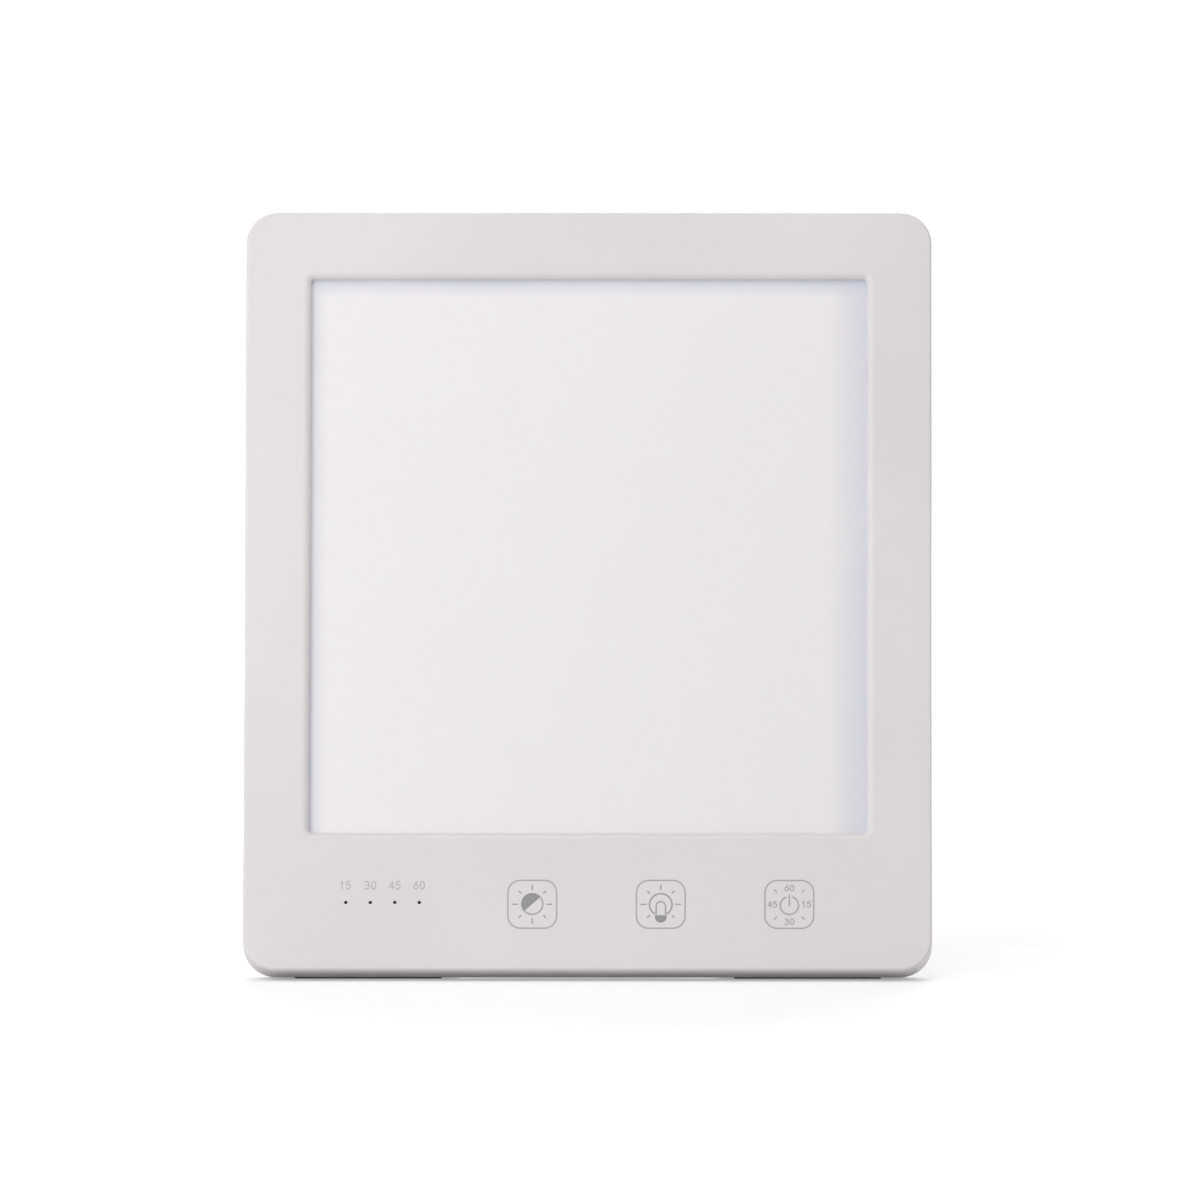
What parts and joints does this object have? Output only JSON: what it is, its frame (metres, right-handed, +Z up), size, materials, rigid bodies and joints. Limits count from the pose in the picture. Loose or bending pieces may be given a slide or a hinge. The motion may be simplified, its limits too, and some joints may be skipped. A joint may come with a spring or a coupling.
{
  "type": "light therapy lamp",
  "caption": "Slim tablet-shaped light therapy lamp with a square diffuser window, printed touch fields below it and a fold-out rear stand.",
  "frame": {"origin": "on the table under the middle of the standing lamp's box", "axes": "+Z up, +Y to the back, so the lit window faces -Y and leans back; +X to the viewer's right"},
  "size_m": [0.215, 0.0876, 0.2373],
  "materials": {
    "bezel": "fine satin white ABS",
    "cover": "fine satin white ABS",
    "stand": "fine satin white ABS",
    "diffuser": "opal acrylic, unlit",
    "film": "optical film",
    "guide": "clear acrylic",
    "aluminium": "mill finish",
    "chip": "LED package",
    "tape": "thermal tape",
    "foam": "foam",
    "board": "glass-epoxy laminate",
    "package": "moulded package",
    "can": "can",
    "connector": "nylon",
    "clear": "clear acrylic",
    "lead": "lead insulation",
    "steel": "zinc-plated steel",
    "brass": "plated brass",
    "rubber": "matt grey rubber",
    "socket": "black moulded plastic"
  },
  "bodies": {
    "housing": {"front_bezel": "bezel", "diffuser_panel": "diffuser", "prism_sheet": "film", "light_guide": "guide", "reflector_sheet": "film", "led_bar_left": "aluminium", "led_bar_right": "aluminium", "led_chips_left": "chip", "led_chips_right": "chip", "thermal_tapes": "tape", "heat_plate": "aluminium", "foam_pads": "foam", "control_board": "board", "touch_pads": "foam", "indicator_leds": "chip", "light_pipe": "clear", "board_chip": "package", "boost_inductor": "package", "board_capacitors": "can", "lead_connectors": "connector", "led_leads": "lead", "dc_socket": "socket", "dc_pin": "brass", "back_cover": "cover", "housing_screws": "steel", "foot_pads": "rubber", "hinge_pin": "steel", "friction_washers": "steel"},
    "stand": {"stand_leg": "stand", "stand_foot": "rubber"}
  },
  "joints": [
    {"name": "stand_hinge", "type": "hinge", "parent": "housing", "child": "stand", "pos_m": [0, 0.01204, 0.14399], "axis": [1, 0, 0], "range_deg": [-26, 0]}
  ]
}
